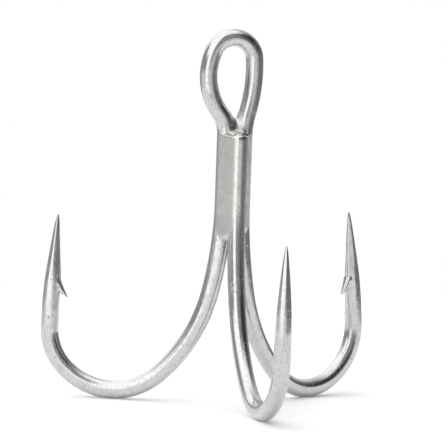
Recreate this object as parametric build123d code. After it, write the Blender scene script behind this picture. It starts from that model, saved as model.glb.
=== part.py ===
from build123d import *
import math
import os

# A brazed treble hook in millimetres. One wire carries the left and right hooks and is bent into
# the eye between them. A second wire carries the single hook. Braze metal fills the grooves
# between the three shanks.
# The origin is the centre of the eye's top bow. +Z runs up along the shanks, the eye lies in the
# XZ plane, and the single hook points along -Y.

# ---------------------------------------------------------------- driving dimensions
WIRE = 2.0                  # wire diameter
RADIUS = WIRE / 2
BRAZE_FILM = 0.1            # gap between neighbouring shanks, held by the braze

EYE_RADIUS = 2.5            # wire centre line round the top of the eye
EYE_LEAN = 0.45             # how far the eye stands to the left of the shanks' own axis
# Each limb of the eye below the top bow: where the bow ends above the eye's centre, then the
# radius of the long belly, then the radius of the neck that turns the wire down into the shank.
LEFT_LIMB = {"bow_end": 23.8, "belly": 6.85, "neck": 3.85}
RIGHT_LIMB = {"bow_end": 3.9, "belly": 18.5, "neck": 11.4}

SHANK_END = -16.4           # height where the straight shanks end and the bends begin
SINGLE_TOP = -8.6           # height of the single wire's cut end, just under the eye

# The bend tightens as it goes round: radius of each arc, and the heading at its end, where 0 is
# straight down and 180 is straight up. The last arc ends at 180 plus the hook's own lean.
BEND_ARCS = [(44.2, 13.4), (18.9, 47.9), (7.85, 139.2)]
LAST_ARC_RADIUS = 6.1
UPRIGHT = 180.0
SPEAR_LENGTH = 12.95        # from the end of the bend to the tip
# Each hook as it was formed: its compass direction about +Z, measured from -Y towards +X, and
# how many degrees its spear leans in towards the shank.
HOOKS = {
    "left": {"direction": -120.0, "swing": 4.8, "lean": 1.8},
    "single": {"direction": 0.0, "swing": 0.0, "lean": -1.8},
    "right": {"direction": 120.0, "swing": 0.0, "lean": 5.6},
}

POINT_LENGTH = 7.4          # ground taper at the end of the spear
POINT_MIDDLE = 0.6          # share of the wire's radius left half-way along the taper
TIP_RADIUS = 0.05

BARB_ROOT = 6.7             # distances back from the tip
BARB_NOTCH = 8.7
BARB_TIP = 9.4
BARB_RISE = 1.0             # how far the barb's tip stands proud of the wire
BARB_ROOT_WIDTH = 1.1
BARB_TIP_WIDTH = 0.2
NOTCH_DEPTH = 0.25
NOTCH_LENGTH = 0.9

FORGED_THICKNESS = 1.9      # across the flats pressed on both sides of the bend
FORGE_START = -18.6         # the flats run in over this height band
FORGE_FULL = -21.6
FORGE_RUNOUT = 0.04         # clearance of the die at the top of that band

BRAZE_TOP = -8.4
BRAZE_INSET = 0.06          # how far the braze's flat faces lie inside the wires' common tangent
FILLET_END = {"left": -20.7, "right": -19.8, "back": -20.2}
CORE_END = -19.6
SADDLE_TOP = -6.9
SADDLE_THICKNESS = 1.3

# ---------------------------------------------------------------- worked out from them
SHANK_SPACING = WIRE + BRAZE_FILM
SHANK_RING = SHANK_SPACING / math.sqrt(3)      # from the shanks' own axis to each wire's axis
SHANK_AXIS = Vector(EYE_LEAN, -SHANK_RING / 2, 0)
TAPER_START = SPEAR_LENGTH - POINT_LENGTH
REACH = 60.0                                   # longer than the whole object, for cutting tools
QUARTER_TURN = 90.0
EYE_PLANE = Plane(origin=(0, 0, 0), x_dir=(1, 0, 0), z_dir=(0, -1, 0))
# A hook's own plane seen edge-on: local x across the wire, local y up.
EDGE_ON = Plane(origin=(0, 0, 0), x_dir=(0, 0, -1), z_dir=(1, 0, 0))


def compass(degrees):
    """Unit vector in the XY plane, measured from -Y towards +X."""
    angle = math.radians(degrees)
    return Vector(math.sin(angle), -math.cos(angle), 0)


def shank_point(hook):
    """Where a hook's wire crosses the height of the eye's centre, straight above its shank."""
    return SHANK_AXIS + compass(HOOKS[hook]["direction"]) * SHANK_RING


def hook_plane(hook):
    """Plane of one hook: local x points away from the shank and local y points up."""
    outward = compass(HOOKS[hook]["direction"] + HOOKS[hook]["swing"])
    return Plane(origin=shank_point(hook), x_dir=outward, z_dir=outward.cross(Vector(0, 0, 1)))


def chain_arcs(start, heading, turns):
    """Tangent arcs in a plane from (radius, turn in degrees) pairs; a negative turn is clockwise."""
    edges = []
    for radius, turn in turns:
        arc = JernArc(start, heading, radius, turn)
        edges.append(arc)
        start = arc @ 1
        heading = arc % 1
    return edges, start, heading


def rod(path_edges):
    """Round wire along a chain of tangent lines and arcs, beginning at the first edge's start."""
    path = Wire(path_edges)
    section = Plane(origin=path_edges[0] @ 0, z_dir=path_edges[0] % 0) * Circle(RADIUS)
    return sweep(section, path=path)


def ground_point():
    """The tapered point, drawn along +Y from the end of the full-width wire to the tip."""
    flank = ThreePointArc(
        (RADIUS, 0), (RADIUS * POINT_MIDDLE, POINT_LENGTH / 2), (TIP_RADIUS, POINT_LENGTH)
    )
    base = Line((0, 0), (RADIUS, 0))
    tip = Line((TIP_RADIUS, POINT_LENGTH), (0, POINT_LENGTH))
    middle = Line((0, POINT_LENGTH), (0, 0))
    return revolve(make_face([base, flank, tip, middle]), axis=Axis.Y)


def barb():
    """The barb on the inner side (-X) of a spear that runs along +Y to its tip at the origin."""
    side = Polygon(
        (-RADIUS * POINT_MIDDLE, -BARB_ROOT),
        (-RADIUS - BARB_RISE, -BARB_TIP),
        (-RADIUS + NOTCH_DEPTH, -BARB_NOTCH),
        (0, -BARB_NOTCH),
        align=None,
    )
    root, end = BARB_ROOT_WIDTH / 2, BARB_TIP_WIDTH / 2
    front = Polygon(
        (-root, -BARB_ROOT), (root, -BARB_ROOT), (end, -BARB_TIP), (-end, -BARB_TIP), align=None
    )
    return extrude(side, WIRE, both=True) & extrude(EDGE_ON * front, WIRE * 2, both=True)


def barb_notch():
    """The cut left under the barb where it was raised from the wire."""
    outline = Polygon(
        (-RADIUS + NOTCH_DEPTH, -BARB_NOTCH),
        (-WIRE, -BARB_NOTCH),
        (-WIRE, -BARB_NOTCH - NOTCH_LENGTH),
        (-RADIUS, -BARB_NOTCH - NOTCH_LENGTH),
        align=None,
    )
    return extrude(outline, WIRE, both=True)


def forging_die():
    """The space between the pressed flats, open above where the forging runs out."""
    flat = FORGED_THICKNESS / 2
    open_side = RADIUS + FORGE_RUNOUT
    right_side = [(WIRE, 0), (WIRE, FORGE_START), (open_side, FORGE_START), (flat, FORGE_FULL)]
    right_side.append((flat, -REACH))
    left_side = [(-across, height) for across, height in reversed(right_side)]
    return extrude(EDGE_ON * Polygon(*right_side, *left_side, align=None), REACH, both=True)


def hook(name, top):
    """One hook from the top of its straight shank to the tip, with its flats, point and barb."""
    lean = HOOKS[name]["lean"]
    turns = []
    heading = 0.0
    for radius, end_heading in BEND_ARCS + [(LAST_ARC_RADIUS, UPRIGHT + lean)]:
        turns.append((radius, end_heading - heading))
        heading = end_heading
    bend, spear_start, spear_heading = chain_arcs(Vector(0, SHANK_END), Vector(0, -1), turns)
    taper_start = spear_start + spear_heading * TAPER_START
    tip = spear_start + spear_heading * SPEAR_LENGTH
    path = [Line((0, top), (0, SHANK_END))] + bend + [Line(spear_start, taper_start)]
    wire = rod(path) + Pos(*taper_start) * Rot(0, 0, lean) * ground_point()
    wire = wire - Pos(*tip) * Rot(0, 0, lean) * barb_notch()
    wire = wire + Pos(*tip) * Rot(0, 0, lean) * barb()
    return hook_plane(name) * (wire & forging_die())


def limb_turns(shape, shank_offset):
    """Radius and turn of the bow, belly and neck of one limb of the eye, from the top down."""
    bow_end = shape["bow_end"]
    belly, neck = shape["belly"], shape["neck"]
    across = shank_offset + neck + (belly - EYE_RADIUS) * math.cos(math.radians(bow_end))
    slope = math.degrees(math.acos(across / (belly + neck)))
    return [(EYE_RADIUS, QUARTER_TURN - bow_end), (belly, bow_end + slope), (neck, -slope)]


def eye_limb(shape, side):
    """One half of the eye, from the top of the bow to the top of its shank; side is -1 or 1."""
    turns = limb_turns(shape, SHANK_SPACING / 2 + side * EYE_LEAN)
    turns = [(radius, -side * turn) for radius, turn in turns]
    edges, end, _ = chain_arcs(Vector(0, EYE_RADIUS), Vector(side, 0), turns)
    return EYE_PLANE * rod(edges), end.Y


def double_hook_wire():
    """The wire that carries the left and right hooks, with the eye between them."""
    left_limb, left_top = eye_limb(LEFT_LIMB, -1)
    right_limb, right_top = eye_limb(RIGHT_LIMB, 1)
    return left_limb + right_limb + hook("left", left_top) + hook("right", right_top)


def block(left, right, inner, outer, bottom, top):
    """A box given by its own six limits."""
    size = Vector(right - left, outer - inner, top - bottom)
    centre = Vector(left + right, inner + outer, bottom + top) / 2
    return Pos(*centre) * Box(*size)


def groove_plane(first, second):
    """Plane between two shanks: local x along the line that joins them, local y outward."""
    start, end = shank_point(first), shank_point(second)
    return Plane(origin=(start + end) / 2, x_dir=(end - start).normalized(), z_dir=(0, 0, 1))


def braze_fillet(first, second, end, wires):
    """Braze that fills one outer groove, flat across and just inside the common tangent."""
    half = SHANK_SPACING / 2
    filled = block(-half, half, 0, RADIUS - BRAZE_INSET, end, BRAZE_TOP)
    return groove_plane(first, second) * filled - wires


def braze_core(wires):
    """Braze in the channel between the three shanks, and the saddle in the crotch of the eye."""
    corners = [shank_point(name) for name in ("left", "single", "right")]
    channel = Pos(0, 0, CORE_END) * extrude(Polygon(*corners, align=None), BRAZE_TOP - CORE_END)
    half = SHANK_SPACING / 2
    thick = SADDLE_THICKNESS / 2
    saddle = block(EYE_LEAN - half, EYE_LEAN + half, -thick, thick, BRAZE_TOP, SADDLE_TOP)
    return channel + saddle - wires


def main():
    double = double_hook_wire()
    single = hook("single", SINGLE_TOP)
    wires = [double, single]
    nodes = {
        "double_hook_wire": double,
        "single_hook_wire": single,
        "braze_core": braze_core(wires),
        "braze_fillet_left": braze_fillet("single", "left", FILLET_END["left"], wires),
        "braze_fillet_right": braze_fillet("right", "single", FILLET_END["right"], wires),
        "braze_fillet_back": braze_fillet("left", "right", FILLET_END["back"], wires),
    }
    os.makedirs("parts", exist_ok=True)
    for name, shape in nodes.items():
        shape.label = name
        export_step(shape, f"parts/{name}.step")
        print(name, "solids", len(shape.solids()), "volume", round(shape.volume, 3))


main()
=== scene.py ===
"""A brazed treble hook: the looks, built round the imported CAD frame, in metres.

One wire carries the left and right hooks with the eye between them, a second wire carries the
single hook, and braze metal fills the grooves between the three shanks.
"""
import math
from collections import namedtuple

import bpy
import numpy as np
from mathutils import Matrix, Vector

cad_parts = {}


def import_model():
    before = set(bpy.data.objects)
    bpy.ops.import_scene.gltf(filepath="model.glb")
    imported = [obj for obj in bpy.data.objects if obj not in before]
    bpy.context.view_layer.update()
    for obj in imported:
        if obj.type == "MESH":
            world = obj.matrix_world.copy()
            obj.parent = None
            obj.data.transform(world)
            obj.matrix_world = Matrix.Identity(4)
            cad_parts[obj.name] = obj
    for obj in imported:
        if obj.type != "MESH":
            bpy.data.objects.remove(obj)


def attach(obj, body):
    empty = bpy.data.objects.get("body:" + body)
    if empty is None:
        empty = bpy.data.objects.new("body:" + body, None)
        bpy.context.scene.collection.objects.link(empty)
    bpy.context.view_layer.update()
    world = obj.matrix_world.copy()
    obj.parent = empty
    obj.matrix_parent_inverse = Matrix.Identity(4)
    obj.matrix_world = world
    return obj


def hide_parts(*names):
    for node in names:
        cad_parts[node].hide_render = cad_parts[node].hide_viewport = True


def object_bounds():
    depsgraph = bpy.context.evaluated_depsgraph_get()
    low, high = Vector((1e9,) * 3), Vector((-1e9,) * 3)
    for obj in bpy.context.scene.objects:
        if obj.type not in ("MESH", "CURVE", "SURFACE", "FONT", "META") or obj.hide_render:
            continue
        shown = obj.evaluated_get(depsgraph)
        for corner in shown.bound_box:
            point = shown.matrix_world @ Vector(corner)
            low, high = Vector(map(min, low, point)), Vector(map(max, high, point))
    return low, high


MM = 0.001

# ---------------------------------------------------------------- dimensions, as in the CAD
RADIUS = 1.0 * MM
BRAZE_FILM = 0.1 * MM
EYE_RADIUS = 2.5 * MM
EYE_LEAN = 0.45 * MM
LIMBS = {
    "left": {"bow_end": 23.8, "belly": 6.85 * MM, "neck": 3.85 * MM},
    "right": {"bow_end": 3.9, "belly": 18.5 * MM, "neck": 11.4 * MM},
}
SHANK_END = -16.4 * MM
SINGLE_TOP = -8.25 * MM
BEND_ARCS = [(44.2 * MM, 13.4), (18.9 * MM, 47.9), (7.85 * MM, 139.2)]
LAST_ARC_RADIUS = 6.1 * MM
SPEAR_LENGTH = 12.95 * MM
HOOKS = {
    "left": {"direction": -120.0, "swing": 4.8, "lean": 1.8},
    "single": {"direction": 0.0, "swing": 0.0, "lean": -1.8},
    "right": {"direction": 120.0, "swing": 0.0, "lean": 5.6},
}

# ---------------------------------------------------------------- sections of the wires
CORNER_POWER = 16           # how sharply the facets of a section meet
EASING_SAMPLES = 7          # places averaged to ease a corner of the spear's table
END_ROUND = 0.55 * MM       # rounded edge of the single wire's cut end
# The spear from the tip down. All but the first row are shares of the wire's radius: half the
# width, how far the point is ground towards the inner side, and the distances from the axis to
# the flats, the two inner bevels and the two outer ones.
SPEAR_BACK = np.array([0.0, 0.4, 1.2, 2.6, 5.1, 7.5, 9.9, 13.0]) * MM
SPEAR = {
    "half_width": [0.05, 0.18, 0.30, 0.44, 0.71, 0.94, 1.00, 1.03],
    "shift": [0.19, 0.17, 0.13, 0.085, 0.05, 0.03, -0.03, 0.0],
    "flat": [0.05, 0.16, 0.30, 0.48, 0.69, 0.82, 0.90, 0.95],
    "inner_bevel": [0.05, 0.15, 0.27, 0.42, 0.58, 0.79, 0.92, 1.08],
    "outer_bevel": [0.05, 0.15, 0.26, 0.40, 0.66, 0.92, 1.02, 1.10],
}
INNER_BEVEL, OUTER_BEVEL = math.radians(50), math.radians(31)
SPEAR_EASE = 0.5 * MM       # how softly one row of the table gives way to the next
SHANK_FLAT, BEND_FLAT = 1.10, 0.95      # the flats' distance from the axis, in radii
BEND_SPREAD = 0.03          # how much wider the pressed bend is across the other way
FLAT_START, FLAT_FULL = -17.4 * MM, -21.2 * MM      # the flats run in over this height band

# ---------------------------------------------------------------- barbs
BARB_ROOT, BARB_TIP = 6.6 * MM, 9.5 * MM        # distances back from the spear's tip
BARB_RISE = 0.94 * MM       # how far its sharp end stands proud of the wire
BARB_HALF_WIDTH = 0.66 * MM
BARB_EDGE = 0.03 * MM       # half its width at the sharp end
BARB_NARROW = 0.4           # share of its width at the root
BARB_WIDEST = 0.5           # share of its length where it has spread to its full width
BARB_TAPER = (2.2, 0.8)     # powers of the curve that narrows it to the sharp end
BARB_START = 0.66           # height of its back at the root, in radii, still under the skin
BARB_SWEEP = 1.3            # power of the curve that lifts its back
BARB_FLOOR = 0.1            # height of its buried underside, in radii
BARB_FREE = 0.55            # share of its length where the underside starts to lift
BARB_THIN = 0.04            # thickness of its sharp end, in radii
BARB_SHOULDER = 0.35        # share of its thickness below its rounded back
BARB_CROWN = 0.7            # power of the curve across its back
BARB_BASE = 0.9             # width of its underside, as a share of its back's
# The chisel cut behind each barb. Its two ends: how far back from the tip, then how far towards
# the gap of the hook and towards the side it was cut from. Its two walls: how far out they reach
# and how far back they slope.
CUT_START = (7.5 * MM, 0.05 * RADIUS, 1.0 * RADIUS)
CUT_END = (9.1 * MM, 0.95 * RADIUS, -0.6 * RADIUS)
CUT_OVERRUN = 0.6 * MM
CUT_DEPTH = 0.42 * MM
CUT_LOWER, CUT_UPPER = (0.9 * MM, 2.2 * MM), (1.9 * MM, 0.9 * MM)

# ---------------------------------------------------------------- braze
BRAZE_TOP = -8.2 * MM
FILLET_ENDS = {"left": -20.7 * MM, "right": -19.8 * MM, "back": -20.2 * MM}
CORE_END = -19.6 * MM
CORE_LAP = 0.2 * MM         # how far it runs up into the saddle
SADDLE_BLEND = 1.2 * MM     # how softly the saddle runs from one limb of the eye to the other
SADDLE_REACH = -5.6 * MM    # height where it has thinned out to nothing on the limbs
SADDLE_INSET = 0.012 * MM   # how far it lies under the limbs' skin beyond its own edge
SADDLE_FOOT = -9.0 * MM
MENISCUS = 0.85 * MM        # radius of the hollow at its foot, over the single wire's end
SKIN = 0.02 * MM            # braze flooded over the wires beside each groove
FEATHER = 0.45 * MM         # how far it reaches round them
FOOT_RISE = 1.5 * MM        # how much higher the braze ends on the wires than mid-groove
TOP_SLOPE = {"left": 0.18 * MM, "right": -0.18 * MM, "back": 0.0}
TOP_ROUND = 0.20 * MM
FOOT_ROUND = 0.8 * MM
FILLET_CORE = 0.6           # how far the fillet's buried side reaches, as a share of its face

# ---------------------------------------------------------------- worked out from them
SHANK_SPACING = 2 * RADIUS + BRAZE_FILM
SHANK_RING = SHANK_SPACING / math.sqrt(3)
SHANK_AXIS = np.array([EYE_LEAN, -SHANK_RING / 2, 0.0])
UP = np.array([0.0, 0.0, 1.0])

# ---------------------------------------------------------------- mesh fineness
STEP = 0.22 * MM            # between rings of wire
FINE_STEP = 0.09 * MM       # between rings in the point and barb
SIDES = 56                  # vertices round a wire
BARB_ZONE = 11.0 * MM       # length of spear with the fine rings
BARB_RINGS, BARB_BACK_SIDES, BARB_BASE_SIDES = 40, 15, 9
FILLET_ROWS, FILLET_COLUMNS = 80, 33
SADDLE_ROWS, SADDLE_COLUMNS = 48, 81
SADDLE_CROWDING = 1.6       # power that crowds the saddle's rows towards its thin top
CORE_ROWS = 40
HALVINGS = 30               # times a span is halved to find a zero
NO_TURN = 1e-9              # sine of a turn too small to have an axis


def smoothstep(low, high, value):
    """0 below low, 1 above high, and a smooth rise between."""
    t = np.clip((value - low) / (high - low), 0.0, 1.0)
    return t * t * (3 - 2 * t)


def unit(vectors):
    return vectors / np.linalg.norm(vectors, axis=-1, keepdims=True)


def compass(degrees):
    """Unit vector in the XY plane, measured from -Y towards +X."""
    angle = math.radians(degrees)
    return np.array([math.sin(angle), -math.cos(angle), 0.0])


def shank_point(name):
    """Where a hook's wire crosses the height of the eye's centre, straight above its shank."""
    return SHANK_AXIS + compass(HOOKS[name]["direction"]) * SHANK_RING


# ---------------------------------------------------------------- wire paths
class Trace:
    """A path drawn in a plane by lines and tangent arcs. Heading 0 is down and 90 is outward."""

    def __init__(self, start, heading):
        self.points = [np.array(start, float)]
        self.headings = [heading]

    def line(self, length, step):
        heading = math.radians(self.headings[-1])
        direction = np.array([math.sin(heading), -math.cos(heading)])
        start = self.points[-1]
        count = max(1, round(length / step))
        for i in range(1, count + 1):
            self.points.append(start + direction * length * i / count)
            self.headings.append(self.headings[-1])

    def arc(self, radius, turn, step):
        first = self.headings[-1]
        side = math.copysign(radius, turn)
        angle = math.radians(first)
        centre = self.points[-1] + side * np.array([math.cos(angle), math.sin(angle)])
        count = max(2, round(radius * abs(math.radians(turn)) / step))
        for i in range(1, count + 1):
            heading = first + turn * i / count
            angle = math.radians(heading)
            spoke = np.array([math.cos(angle), math.sin(angle)])
            self.points.append(centre - side * spoke)
            self.headings.append(heading)

    def lift(self, origin, outward):
        """Points, tangents and in-plane normals of the trace in space."""
        flat = np.array(self.points)
        angle = np.radians(self.headings)[:, None]
        points = origin + flat[:, :1] * outward + flat[:, 1:] * UP
        tangents = np.sin(angle) * outward - np.cos(angle) * UP
        normals = np.cos(angle) * outward + np.sin(angle) * UP
        return points, tangents, normals


def limb_turns(shape, shank_offset):
    """Radius and turn of the bow, belly and neck of one limb of the eye, from the top down."""
    bow_end, belly, neck = shape["bow_end"], shape["belly"], shape["neck"]
    across = shank_offset + neck + (belly - EYE_RADIUS) * math.cos(math.radians(bow_end))
    slope = math.degrees(math.acos(across / (belly + neck)))
    return [(EYE_RADIUS, bow_end - 90), (belly, -bow_end - slope), (neck, slope)]


def limb_path(name, side):
    """The half of the eye above one shank, from the top of the bow down to the neck's end."""
    trace = Trace((0, EYE_RADIUS), 90.0)
    for radius, turn in limb_turns(LIMBS[name], SHANK_SPACING / 2 + side * EYE_LEAN):
        trace.arc(radius, turn, STEP)
    return trace.lift(np.zeros(3), np.array([float(side), 0.0, 0.0]))


def hook_path(name, top):
    """One hook from the top of its straight shank to its tip."""
    trace = Trace((0, top), 0.0)
    trace.line(top - SHANK_END, STEP)
    heading = 0.0
    for radius, end in BEND_ARCS + [(LAST_ARC_RADIUS, 180 + HOOKS[name]["lean"])]:
        trace.arc(radius, end - heading, STEP)
        heading = end
    trace.line(SPEAR_LENGTH - BARB_ZONE, STEP)
    trace.line(BARB_ZONE, FINE_STEP)
    outward = compass(HOOKS[name]["direction"] + HOOKS[name]["swing"])
    return trace.lift(shank_point(name), outward)


def join_paths(first, second):
    """Two paths end to end, where second begins at first's last point."""
    return tuple(np.vstack([a, b[1:]]) for a, b in zip(first, second))


def side_path(name, side):
    """From the top of the eye down one limb and shank, round the hook and up to its tip."""
    limb = limb_path(name, side)
    return join_paths(limb, hook_path(name, limb[0][-1][2]))


def reverse_path(path):
    points, tangents, normals = path
    return points[::-1], -tangents[::-1], normals[::-1]


def carried_frames(tangents, first):
    """A sideways vector for each ring, carried along the path with no twist."""
    sideways = [first]
    for before, after in zip(tangents[:-1], tangents[1:]):
        axis = np.cross(before, after)
        vector = sideways[-1]
        sine = np.linalg.norm(axis)
        if sine > NO_TURN:
            axis = axis / sine
            angle = math.asin(min(sine, 1.0))
            vector = (
                vector * math.cos(angle)
                + np.cross(axis, vector) * math.sin(angle)
                + axis * np.dot(axis, vector) * (1 - math.cos(angle))
            )
        vector = vector - after * np.dot(vector, after)
        sideways.append(vector / np.linalg.norm(vector))
    return np.array(sideways)


def spear_share(name, back):
    """One row of the spear's table at a distance from the tip, with its corners eased."""
    near_tip = np.clip(back / SPEAR_EASE, 0, 1)[..., None]
    eases = np.linspace(-SPEAR_EASE, SPEAR_EASE, EASING_SAMPLES) * near_tip
    return np.interp(back[..., None] + eases, SPEAR_BACK, SPEAR[name]).mean(axis=-1)


def section_radii(inner, across, back, height, from_end):
    """Distance from the wire's axis to its skin, in a direction given by its inner component
    (towards the gap of the hook) and its component across the flats."""
    pressed = smoothstep(-FLAT_START, -FLAT_FULL, -height)
    on_spear = back < SPEAR_BACK[-1]
    width = np.where(on_spear, spear_share("half_width", back), 1 + BEND_SPREAD * pressed)
    edge = np.clip(from_end, 0.0, END_ROUND)
    base = RADIUS * width - END_ROUND + np.sqrt(END_ROUND**2 - (END_ROUND - edge) ** 2)
    shank_flat = SHANK_FLAT + (BEND_FLAT - SHANK_FLAT) * pressed
    flat = RADIUS * np.where(on_spear, spear_share("flat", back), shank_flat)
    sideways = np.abs(across)
    facets = [
        (np.ones_like(inner), base),
        (sideways, flat),
        (
            inner * math.cos(INNER_BEVEL) + sideways * math.sin(INNER_BEVEL),
            RADIUS * spear_share("inner_bevel", back),
        ),
        (
            -inner * math.cos(OUTER_BEVEL) + sideways * math.sin(OUTER_BEVEL),
            RADIUS * spear_share("outer_bevel", back),
        ),
    ]
    total = sum((np.maximum(lean, 0) / distance) ** CORNER_POWER for lean, distance in facets)
    return total ** (-1 / CORNER_POWER)


# ---------------------------------------------------------------- mesh building
def new_mesh_object(name, vertices, faces, uvs=None):
    mesh = bpy.data.meshes.new(name)
    mesh.from_pydata([tuple(v) for v in vertices], [], faces)
    if uvs is not None:
        layer = mesh.uv_layers.new(name="lengthwise")
        layer.data.foreach_set("uv", np.array(uvs, np.float32).ravel())
    mesh.shade_smooth()
    mesh.update()
    piece = bpy.data.objects.new(name, mesh)
    bpy.context.scene.collection.objects.link(piece)
    return piece


def tube(name, rings, lengths):
    """A closed tube through rings of points. Its map runs round the wire and along it, in mm."""
    count, sides = rings.shape[:2]
    vertices = list(rings.reshape(-1, 3))
    faces, uvs = [], []
    round_mm = 2 * math.pi * RADIUS / MM / sides
    for i in range(count - 1):
        for j in range(sides):
            k = (j + 1) % sides
            faces.append((i * sides + j, i * sides + k, (i + 1) * sides + k, (i + 1) * sides + j))
            low, high = lengths[i] / MM, lengths[i + 1] / MM
            left, right = j * round_mm, (j + 1) * round_mm
            uvs += [(left, low), (right, low), (right, high), (left, high)]
    for ring, order in ((0, -1), (count - 1, 1)):
        centre = len(vertices)
        vertices.append(rings[ring].mean(axis=0))
        for j in range(sides):
            pair = [ring * sides + j, ring * sides + (j + 1) % sides][::order]
            faces.append((*pair, centre))
            uvs += [(j * round_mm, lengths[ring] / MM)] * 3
    return new_mesh_object(name, vertices, faces, uvs)


def swept_wire(name, path, first_is_tip):
    """The mesh of one wire along its path, with its flats, points and cut end."""
    points, tangents, normals = path
    steps = np.linalg.norm(np.diff(points, axis=0), axis=1)
    lengths = np.concatenate([[0.0], np.cumsum(steps)])
    to_last = lengths[-1] - lengths
    if first_is_tip:
        back = np.minimum(lengths, to_last)
        from_end = np.full_like(lengths, END_ROUND)
    else:
        back = to_last
        from_end = lengths
    first = normals[0]
    sideways = carried_frames(tangents, first)
    upright = np.cross(tangents, sideways)
    across_axis = np.cross(tangents, normals)
    angles = np.linspace(0, 2 * math.pi, SIDES, endpoint=False)
    directions = (
        np.cos(angles)[None, :, None] * sideways[:, None, :]
        + np.sin(angles)[None, :, None] * upright[:, None, :]
    )
    inner = (directions * normals[:, None, :]).sum(axis=2)
    across = (directions * across_axis[:, None, :]).sum(axis=2)
    columns = [v[:, None] * np.ones(SIDES) for v in (back, points[:, 2], from_end)]
    radii = section_radii(inner, across, *columns)
    shift = RADIUS * spear_share("shift", back)
    centres = points + normals * shift[:, None]
    rings = centres[:, None, :] + directions * radii[:, :, None]
    return tube(name, rings, lengths)


def barb(name, tip, forward, inner, cut_side):
    """The wedge raised from the inner side of a spear, from under the skin to its sharp end."""
    rings, lengths = [], []
    for t in np.linspace(0, 1, BARB_RINGS):
        back = BARB_ROOT + (BARB_TIP - BARB_ROOT) * t
        top = RADIUS * BARB_START + (BARB_RISE + RADIUS * (1 - BARB_START)) * t**BARB_SWEEP
        freed = max(0.0, t - BARB_FREE) / (1 - BARB_FREE)
        bottom = BARB_FLOOR * RADIUS + (top - (BARB_FLOOR + BARB_THIN) * RADIUS) * freed
        spread = BARB_NARROW + (1 - BARB_NARROW) * smoothstep(0.0, BARB_WIDEST, t)
        taper = (1 - t ** BARB_TAPER[0]) ** BARB_TAPER[1]
        half_width = BARB_HALF_WIDTH * spread * taper + BARB_EDGE
        ring = []
        for angle in np.radians(np.linspace(-90, 90, BARB_BACK_SIDES)):
            crown = BARB_SHOULDER + (1 - BARB_SHOULDER) * math.cos(angle) ** BARB_CROWN
            ring.append((bottom + (top - bottom) * crown, half_width * math.sin(angle)))
        for share in np.linspace(1, -1, BARB_BASE_SIDES):
            ring.append((bottom, half_width * BARB_BASE * share))
        rings.append([tip - forward * back + inner * rise + cut_side * side for rise, side in ring])
        lengths.append(t * (BARB_TIP - BARB_ROOT))
    return tube(name, np.array(rings), np.array(lengths))


def barb_cut(name, tip, forward, inner, cut_side):
    """The chisel cut that raised the barb: a groove that runs slantwise from one flat down to the
    inner side of the spear. Its upper wall is the barb's underside."""
    start, end = (
        tip - forward * back + inner * rise + cut_side * side
        for back, rise, side in (CUT_START, CUT_END)
    )
    along = unit(end - start)
    outward = unit(inner * math.cos(INNER_BEVEL) + cut_side * math.sin(INNER_BEVEL))
    outward = unit(outward - along * np.dot(outward, along))
    apex = -CUT_DEPTH * outward
    corners = [apex]
    for reach, slope in (CUT_LOWER, CUT_UPPER):
        corners.append(apex + reach * outward - slope * forward)
    end = end + along * CUT_OVERRUN
    rings = [[place + corner for corner in corners] for place in (start, end)]
    return tube(name, np.array(rings), np.array([0.0, 1.0]) * MM)


def fuse(piece, added, removed=()):
    """One closed mesh from a piece, the ones that run into it and the ones cut from it."""
    tools = [(other, "UNION") for other in added] + [(other, "DIFFERENCE") for other in removed]
    for other, operation in tools:
        step = piece.modifiers.new(operation.lower(), "BOOLEAN")
        step.operation = operation
        step.solver = "EXACT"
        step.object = other
    depsgraph = bpy.context.evaluated_depsgraph_get()
    mesh = bpy.data.meshes.new_from_object(piece.evaluated_get(depsgraph))
    piece.modifiers.clear()
    piece.data = mesh
    for other, _ in tools:
        bpy.data.objects.remove(other)
    mesh.shade_smooth()
    return piece


def with_barbs(piece, path, ends):
    """The wire with a barb at each of its tips; ends are indices of the path's last points."""
    points, tangents, normals = path
    barbs, cuts = [], []
    for end in ends:
        forward = tangents[end] if end == -1 else -tangents[end]
        cut_side = np.cross(normals[end], forward)
        place = (points[end], forward, normals[end], cut_side)
        barbs.append(barb(f"barb_{end}", *place))
        cuts.append(barb_cut(f"barb_cut_{end}", *place))
    return fuse(piece, barbs, cuts)


def double_hook_wire():
    left = reverse_path(side_path("left", -1))
    right = side_path("right", 1)
    path = join_paths(left, right)
    piece = swept_wire("double_hook_wire_plated", path, first_is_tip=True)
    return with_barbs(piece, path, (0, -1))


def single_hook_wire():
    path = hook_path("single", SINGLE_TOP)
    piece = swept_wire("single_hook_wire_plated", path, first_is_tip=False)
    return with_barbs(piece, path, (-1,))


# ---------------------------------------------------------------- braze
def slab(name, outer, inner):
    """A closed solid between two grids of points of the same size."""
    rows, columns = outer.shape[:2]
    vertices = list(outer.reshape(-1, 3)) + list(inner.reshape(-1, 3))
    behind = rows * columns
    faces = []
    for i in range(rows - 1):
        for j in range(columns - 1):
            a, b = i * columns + j, i * columns + j + 1
            c, d = b + columns, a + columns
            faces.append((a, b, c, d))
            faces.append((behind + d, behind + c, behind + b, behind + a))
    rim = list(range(columns))
    rim += [i * columns + columns - 1 for i in range(1, rows)]
    rim += [(rows - 1) * columns + j for j in range(columns - 2, -1, -1)]
    rim += [i * columns for i in range(rows - 2, 0, -1)]
    for a, b in zip(rim, rim[1:] + rim[:1]):
        faces.append((b, a, behind + a, behind + b))
    return new_mesh_object(name, vertices, faces)


def shank_centre(name, height):
    """Centre of a hook's wire at a height on its shank or in the first arc of its bend."""
    drop = max(0.0, SHANK_END - height)
    radius = BEND_ARCS[0][0]
    outward = compass(HOOKS[name]["direction"] + HOOKS[name]["swing"])
    run = radius - math.sqrt(radius**2 - drop**2)
    return shank_point(name) + outward * run + UP * height


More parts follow.
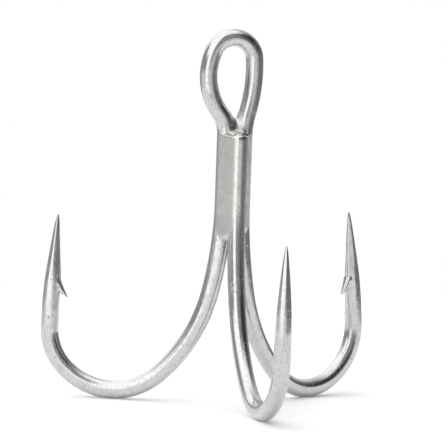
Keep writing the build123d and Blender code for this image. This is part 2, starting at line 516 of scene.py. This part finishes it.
def round_over(distance, radius):
    """How far a surface has sunk at a distance from its rounded end."""
    inside = max(0.0, radius - distance)
    return radius - math.sqrt(max(0.0, radius**2 - inside**2))


def braze_fillet(side, first, second):
    """Braze in one outer groove: flat across, feathered onto both wires, tongue-shaped below."""
    outer, inner = [], []
    for v in np.linspace(0, 1, FILLET_ROWS):
        outer_row, inner_row = [], []
        for u in np.linspace(-1, 1, FILLET_COLUMNS):
            top = BRAZE_TOP - abs(TOP_SLOPE[side]) + TOP_SLOPE[side] * u
            foot = FILLET_ENDS[side] + FOOT_RISE * u * u
            height = top + (foot - top) * v
            a, b = shank_centre(first, height), shank_centre(second, height)
            span = np.linalg.norm(b - a)
            along = (b - a) / span
            outward = np.cross(UP, along)
            x = u * (span / 2 + FEATHER)
            over = max(0.0, abs(x) - span / 2)
            face = math.sqrt((RADIUS + SKIN) ** 2 - over**2) - 2 * SKIN * over / FEATHER
            face -= round_over(top - height, TOP_ROUND)
            face -= round_over(height - foot, FOOT_ROUND) * (1 - u * u)
            centre = (a + b) / 2
            outer_row.append(centre + along * x + outward * face)
            inner_row.append(centre + along * x * FILLET_CORE)
        outer.append(outer_row)
        inner.append(inner_row)
    return slab(f"braze_fillet_{side}_plated", np.array(outer), np.array(inner))


def limb_lines():
    """Heights, centre line and steepness of each limb of the eye below its bow, from the foot."""
    lines = []
    for name, side in (("left", -1), ("right", 1)):
        points, tangents, _ = limb_path(name, side)
        below = points[:, 2] < 0
        lines.append((points[below, 2][::-1], points[below, 0][::-1], -tangents[below, 2][::-1]))
    return lines


def crotch_skin(x, height, depth, lines):
    """Distance from the skin of the two limbs, blended where they come close; negative inside."""
    gaps = []
    for heights, centres, steepness in lines:
        away = (x - np.interp(height, heights, centres)) * np.interp(height, heights, steepness)
        gaps.append(np.hypot(away, depth) - RADIUS)
    near, far = np.minimum(*gaps), np.maximum(*gaps)
    blend = np.maximum(SADDLE_BLEND - (far - near), 0)
    return near - blend**2 / (4 * SADDLE_BLEND) + SADDLE_INSET


def zero_between(function, low, high):
    """Where a rising function passes zero, by halving the span; arrays are halved all at once."""
    for _ in range(HALVINGS):
        middle = (low + high) / 2
        inside = function(middle) < 0
        low, high = np.where(inside, middle, low), np.where(inside, high, middle)
    return (low + high) / 2


def braze_saddle():
    """The web in the crotch of the eye: a hollow fillet between the limbs, spreading at its foot
    to meet the single wire's end."""
    lines = limb_lines()
    (left_heights, left, _), (right_heights, right, _) = lines

    def across(share, height):
        first = np.interp(height, left_heights, left)
        second = np.interp(height, right_heights, right)
        return first + (second - first) * (1 + share) / 2

    u = np.linspace(-1, 1, SADDLE_COLUMNS)
    top = zero_between(lambda z: crotch_skin(across(u, z), z, 0.0, lines), SADDLE_FOOT, SADDLE_REACH)
    front, back = [], []
    for v in np.linspace(0, 1, SADDLE_ROWS) ** SADDLE_CROWDING:
        height = top + (SADDLE_FOOT - top) * v
        x = across(u, height)
        depth = zero_between(lambda y: crotch_skin(x, height, y, lines), 0.0, 2 * RADIUS)
        depth = np.maximum(depth, SADDLE_INSET)
        rise = np.clip((height - SINGLE_TOP) / MENISCUS, 0, 1)
        spread = MENISCUS * (1 - np.sqrt(1 - (1 - rise) ** 2)) * (1 - u * u)
        front.append(np.stack([x, -depth - spread, height], axis=1))
        back.append(np.stack([x, depth, height], axis=1))
    return slab("braze_saddle", np.array(front), np.array(back))


def braze_core():
    """Braze between the three shanks, and the saddle that closes the crotch of the eye."""
    rows = []
    for height in np.linspace(CORE_END, SADDLE_FOOT + CORE_LAP, CORE_ROWS):
        rows.append([shank_centre(name, height) for name in ("left", "single", "right")])
    channel = tube("braze_core_plated", np.array(rows), np.linspace(0, 1, CORE_ROWS) * MM)
    return fuse(channel, [braze_saddle()])


# ---------------------------------------------------------------- materials
class Tree:
    """Adds nodes to one node tree; an input is given a value or another node's output."""

    def __init__(self, owner):
        owner.use_nodes = True
        self.tree = owner.node_tree
        self.nodes = self.tree.nodes

    def set(self, node, inputs):
        for key, value in inputs.items():
            if isinstance(value, bpy.types.NodeSocket):
                self.tree.links.new(value, node.inputs[key])
            else:
                node.inputs[key].default_value = value
        return node

    def add(self, kind, inputs=None, **properties):
        node = self.nodes.new(kind)
        for key, value in properties.items():
            setattr(node, key, value)
        return self.set(node, inputs or {})

    def math(self, operation, *values):
        inputs = dict(enumerate(values))
        return self.add("ShaderNodeMath", inputs, operation=operation).outputs[0]

    def ramp(self, value, low, high, start, end):
        """Maps value from low..high to start..end with a smooth ease."""
        inputs = {"Value": value, "From Min": low, "From Max": high, "To Min": start, "To Max": end}
        kind = "ShaderNodeMapRange"
        return self.add(kind, inputs, interpolation_type="SMOOTHSTEP").outputs["Result"]

    def mix(self, factor, first, second):
        """Blend of two colours."""
        node = self.add("ShaderNodeMix", data_type="RGBA")
        factor_socket, first_socket, second_socket = 0, 6, 7
        result_socket = 2
        self.set(node, {factor_socket: factor, first_socket: first, second_socket: second})
        return node.outputs[result_socket]

    def noise(self, vector, scale, detail=3.0, roughness=0.5):
        inputs = {"Vector": vector, "Scale": scale, "Detail": detail, "Roughness": roughness}
        return self.add("ShaderNodeTexNoise", inputs).outputs["Fac"]

    def stretched(self, vector, scale):
        """Coordinates multiplied by a scale along each axis."""
        return self.add("ShaderNodeMapping", {"Vector": vector, "Scale": scale}).outputs["Vector"]


PER_MM = 1000.0             # object coordinates are metres, so this makes them millimetres
# The marks in the plating: how many come to a millimetre.
CLOUDS, SPECKLES, PITS, DENTS, PATCHES = 0.8, 4.5, 2.6, 1.1, 0.35
SPECKLE_STRETCH = (1.0, 1.0, 0.55)
DRAWN_GRAIN = (10.0, 10.0, 0.5)         # fine across the wire and long down it
# Two sets of scratches: which way they run, how many come to a millimetre and how thin they are.
SCRATCHES = [((0.3, 0.5, 0.2), (2.2, 2.2, 0.35), 0.012), ((0.6, -0.8, 0.0), (1.6, 1.6, 0.3), 0.010)]
# How deep each mark is, in millimetres; the first two are for a grain of full strength.
GRAIN_DEPTH, SPECKLE_DEPTH, PIT_DEPTH, SCRATCH_DEPTH = 0.004, 0.005, 0.010, 0.006
PIT_EDGE = (0.31, 0.25)     # the noise falls through these at the rim and in the middle of a pit
PIT_SHADE = 0.3             # colour in the pits, as a share of the dark plating's
PIT_ROUGHNESS = 0.2         # how much rougher pits and scratches are


def scratch_lines(tree, metric, turn, stretch, width):
    """1 along thin wandering lines, mostly in one direction, where the patches allow them."""
    mapping = tree.add("ShaderNodeMapping", {"Vector": metric, "Rotation": turn, "Scale": stretch})
    field = tree.noise(mapping.outputs["Vector"], 1.0, detail=1.0, roughness=0.4)
    away = tree.math("ABSOLUTE", tree.math("SUBTRACT", field, 0.5))
    line = tree.ramp(away, 0.0, width, 1.0, 0.0)
    patch = tree.ramp(tree.noise(metric, PATCHES, detail=1.0), 0.50, 0.60, 0.0, 1.0)
    return tree.math("MULTIPLY", line, patch)


def plating_relief(tree, metric, grain, dents, speckle, pits, scratches):
    """Height of the plating in millimetres: drawn grain, speckle and dents, less pits and lines."""
    drawn = tree.noise(tree.stretched(metric, DRAWN_GRAIN), 1.0, detail=4.0, roughness=0.7)
    raised = [
        (drawn, GRAIN_DEPTH * grain),
        (speckle, SPECKLE_DEPTH * grain),
        (tree.noise(metric, DENTS, detail=2.0), dents),
    ]
    relief = 0.0
    for mark, height in raised:
        relief = tree.math("ADD", relief, tree.math("MULTIPLY", mark, height))
    for mark, depth in ((pits, PIT_DEPTH), (scratches, SCRATCH_DEPTH)):
        relief = tree.math("SUBTRACT", relief, tree.math("MULTIPLY", mark, depth))
    return relief


def plated_metal(name, colour, dark, gloss, satin, grain, dents, stain):
    """Tin plate: a fine grain drawn along the wire, soft dents, cloudy gloss, stains, scratches
    and small dark pits. Gloss and satin are the least and most rough it gets. Grain, dents and
    stain are how strong each is."""
    material = bpy.data.materials.new(name)
    tree = Tree(material)
    place = tree.add("ShaderNodeTexCoord").outputs["Object"]
    metric = tree.stretched(place, (PER_MM, PER_MM, PER_MM))
    cloud = tree.noise(metric, CLOUDS, detail=4.0, roughness=0.65)
    speckle = tree.noise(
        tree.stretched(metric, SPECKLE_STRETCH), SPECKLES, detail=5.0, roughness=0.75
    )
    pits = tree.ramp(tree.noise(metric, PITS), *PIT_EDGE, 0.0, 1.0)
    scratches = tree.math("MAXIMUM", *(scratch_lines(tree, metric, *kind) for kind in SCRATCHES))
    grainy = tree.ramp(speckle, 0.45, 0.7, 0.0, grain)
    stained = tree.ramp(cloud, 0.45, 0.7, 0.0, stain)
    tone = tree.mix(tree.math("ADD", grainy, stained), (*colour, 1.0), (*dark, 1.0))
    tone = tree.mix(pits, tone, (*(PIT_SHADE * channel for channel in dark), 1.0))
    worn = tree.math("MULTIPLY", tree.math("MAXIMUM", pits, scratches), PIT_ROUGHNESS)
    rough = tree.math("ADD", tree.ramp(cloud, 0.3, 0.7, gloss, satin), worn)
    relief = plating_relief(tree, metric, grain, dents, speckle, pits, scratches)
    bump = tree.add("ShaderNodeBump", {"Height": relief, "Distance": MM, "Strength": 1.0})
    tree.set(tree.nodes["Principled BSDF"], {
        "Metallic": 1.0,
        "Base Color": tone,
        "Roughness": rough,
        "Normal": bump.outputs["Normal"],
    })
    return material


def tinned_wire():
    return plated_metal(
        "tinned_wire", colour=(0.600, 0.610, 0.590), dark=(0.33, 0.335, 0.345),
        gloss=0.08, satin=0.18, grain=0.45, dents=0.010, stain=0.18,
    )


def tinned_braze():
    return plated_metal(
        "tinned_braze", colour=(0.585, 0.595, 0.570), dark=(0.34, 0.35, 0.35),
        gloss=0.26, satin=0.38, grain=0.30, dents=0.030, stain=0.25,
    )


# ---------------------------------------------------------------- studio
CAMERA_AZIMUTH = -16.47
CAMERA_ELEVATION = 4.56
CAMERA_ROLL = 1.98
CAMERA_DISTANCE = 687.4 * MM
VIEW_WIDTH = 50.7706 * MM   # how much the picture spans at that distance
AIM_HEIGHT = -5.8 * MM      # the height on the shanks' axis that the camera's distance is from
AIM_RIGHT, AIM_DOWN = -1.48 * MM, 12.77 * MM
SENSOR = 36.0
CLIP_START, CLIP_END = 0.05, 50.0


def camera():
    """A long lens at the fitted place, level with the table but for its own small roll."""
    azimuth, elevation = math.radians(CAMERA_AZIMUTH), math.radians(CAMERA_ELEVATION)
    back = np.array([
        math.sin(azimuth) * math.cos(elevation),
        -math.cos(azimuth) * math.cos(elevation),
        math.sin(elevation),
    ])
    right = np.array([math.cos(azimuth), math.sin(azimuth), 0.0])
    up = np.cross(back, right)
    roll = math.radians(CAMERA_ROLL)
    rolled_right = right * math.cos(roll) + up * math.sin(roll)
    rolled_up = -right * math.sin(roll) + up * math.cos(roll)
    base = SHANK_AXIS + UP * AIM_HEIGHT
    place = base + back * CAMERA_DISTANCE
    target = base + rolled_right * AIM_RIGHT - rolled_up * AIM_DOWN
    new_back = unit(place - target)
    new_right = unit(np.cross(rolled_up, new_back))
    new_up = np.cross(new_back, new_right)
    data = bpy.data.cameras.new("camera")
    data.sensor_width = SENSOR
    data.lens = SENSOR * CAMERA_DISTANCE / VIEW_WIDTH
    data.clip_start, data.clip_end = CLIP_START, CLIP_END
    lens = bpy.data.objects.new("camera", data)
    bpy.context.scene.collection.objects.link(lens)
    matrix = Matrix.Identity(4)
    for row in range(3):
        matrix[row][0], matrix[row][1] = new_right[row], new_up[row]
        matrix[row][2], matrix[row][3] = new_back[row], place[row]
    lens.matrix_world = matrix
    bpy.context.scene.camera = lens


# The studio round the hook, by direction. Azimuth runs from -Y towards +X and elevation from the
# horizon, in degrees. Each card lies over the ones before it: the middle and half width of its
# azimuth, how soft those edges are, the elevations of its foot and head, their softness, and its
# brightness.
Card = namedtuple("Card", "name azimuth half_width soft foot head edge brightness")
WALL = 0.40
TABLE = 0.93                # the pale table beyond the floor disc, seen below the horizon
TABLE_EDGE = (-4.5, 4.0)
CARDS = [Card(*row) for row in [
    ("back wall", 165, 42, 30, 8, 70, 16, 0.80),
    ("back window", -162, 28, 20, 16, 70, 12, 1.45),
    ("left ceiling", -130, 66, 30, 34, 100, 22, 1.65),
    ("dark corner", 64, 38, 50, -2, 56, 34, 0.05),
    ("dark table", 82, 48, 46, -26, 6, 26, 0.24),
    ("dim table", -165, 45, 30, -16, 10, 12, 0.45),
    ("left softbox", -42, 19, 12, -26, 80, 10, 1.65),
    ("left softbox, upper", -64, 30, 12, 18, 80, 10, 1.75),
    ("ceiling", 0, 400, 10, 63, 200, 34, 1.60),
]]
SEEN_WHITE = 1.0            # the camera itself sees a plain white background
FLOOR_RADIUS = 120 * MM
FLOOR_SIDES = 128
FLOOR_WHITE, FLOOR_ROUGHNESS = 0.95, 0.9
TABLE_GLOW = 0.12           # the table is a lit white panel


def card_cover(tree, azimuth, elevation, card):
    """1 where a card fills the view and 0 beside it."""
    side, edge = card.soft / 2, card.edge / 2
    turned = tree.math("ADD", azimuth, 540.0 - card.azimuth)
    away = tree.math("ABSOLUTE", tree.math("SUBTRACT", tree.math("MODULO", turned, 360.0), 180.0))
    across = tree.ramp(away, card.half_width - side, card.half_width + side, 1.0, 0.0)
    above = tree.ramp(elevation, card.foot - edge, card.foot + edge, 0.0, 1.0)
    below = tree.ramp(elevation, card.head - edge, card.head + edge, 1.0, 0.0)
    return tree.math("MULTIPLY", across, tree.math("MULTIPLY", above, below))


def world():
    """The studio as light, with a plain white background behind the hook."""
    scene = bpy.context.scene
    scene.view_settings.view_transform = "Standard"
    scene.world = bpy.data.worlds.new("studio")
    tree = Tree(scene.world)
    background = tree.nodes["Background"]
    view = tree.add("ShaderNodeTexCoord").outputs["Generated"]
    axes = tree.add("ShaderNodeSeparateXYZ", {"Vector": view}).outputs
    toward = tree.math("MULTIPLY", axes["Y"], -1.0)
    azimuth = tree.math("DEGREES", tree.math("ARCTAN2", axes["X"], toward))
    elevation = tree.math("DEGREES", tree.math("ARCSINE", axes["Z"]))
    bright = tree.ramp(elevation, *TABLE_EDGE, TABLE, WALL)
    for card in CARDS:
        cover = card_cover(tree, azimuth, elevation, card)
        uncovered = tree.math("MULTIPLY", tree.math("SUBTRACT", 1.0, cover), bright)
        bright = tree.math("ADD", uncovered, tree.math("MULTIPLY", cover, card.brightness))
    camera_ray = tree.add("ShaderNodeLightPath").outputs["Is Camera Ray"]
    seen = tree.math("MULTIPLY", camera_ray, SEEN_WHITE)
    hidden = tree.math("MULTIPLY", tree.math("SUBTRACT", 1.0, camera_ray), bright)
    tree.set(background, {"Strength": tree.math("ADD", seen, hidden), "Color": (1, 1, 1, 1)})


def floor(lowest):
    """The pale table top under the hook."""
    bpy.ops.mesh.primitive_circle_add(
        vertices=FLOOR_SIDES, radius=FLOOR_RADIUS, fill_type="NGON", location=(0, 0, lowest)
    )
    plane = bpy.context.object
    plane.name = "floor"
    material = bpy.data.materials.new("floor")
    tree = Tree(material)
    tree.set(tree.nodes["Principled BSDF"], {
        "Base Color": (FLOOR_WHITE, FLOOR_WHITE, FLOOR_WHITE, 1),
        "Roughness": FLOOR_ROUGHNESS,
        "Emission Color": (1, 1, 1, 1),
        "Emission Strength": TABLE_GLOW,
    })
    plane.data.materials.append(material)


# ---------------------------------------------------------------- the scene
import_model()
cad_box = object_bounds()

materials = {"tinned_wire": tinned_wire(), "tinned_braze": tinned_braze()}
pieces = [
    (double_hook_wire(), "double_hook_wire", "tinned_wire"),
    (single_hook_wire(), "single_hook_wire", "tinned_wire"),
    (braze_core(), "braze_core", "tinned_braze"),
]
for side, first, second in (
    ("left", "single", "left"), ("right", "right", "single"), ("back", "left", "right")
):
    pieces.append((braze_fillet(side, first, second), f"braze_fillet_{side}", "tinned_braze"))
for piece, node, slot in pieces:
    piece.data.materials.clear()
    piece.data.materials.append(materials[slot])
    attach(piece, "root")
    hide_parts(node)

floor(cad_box[0][2])
world()
camera()
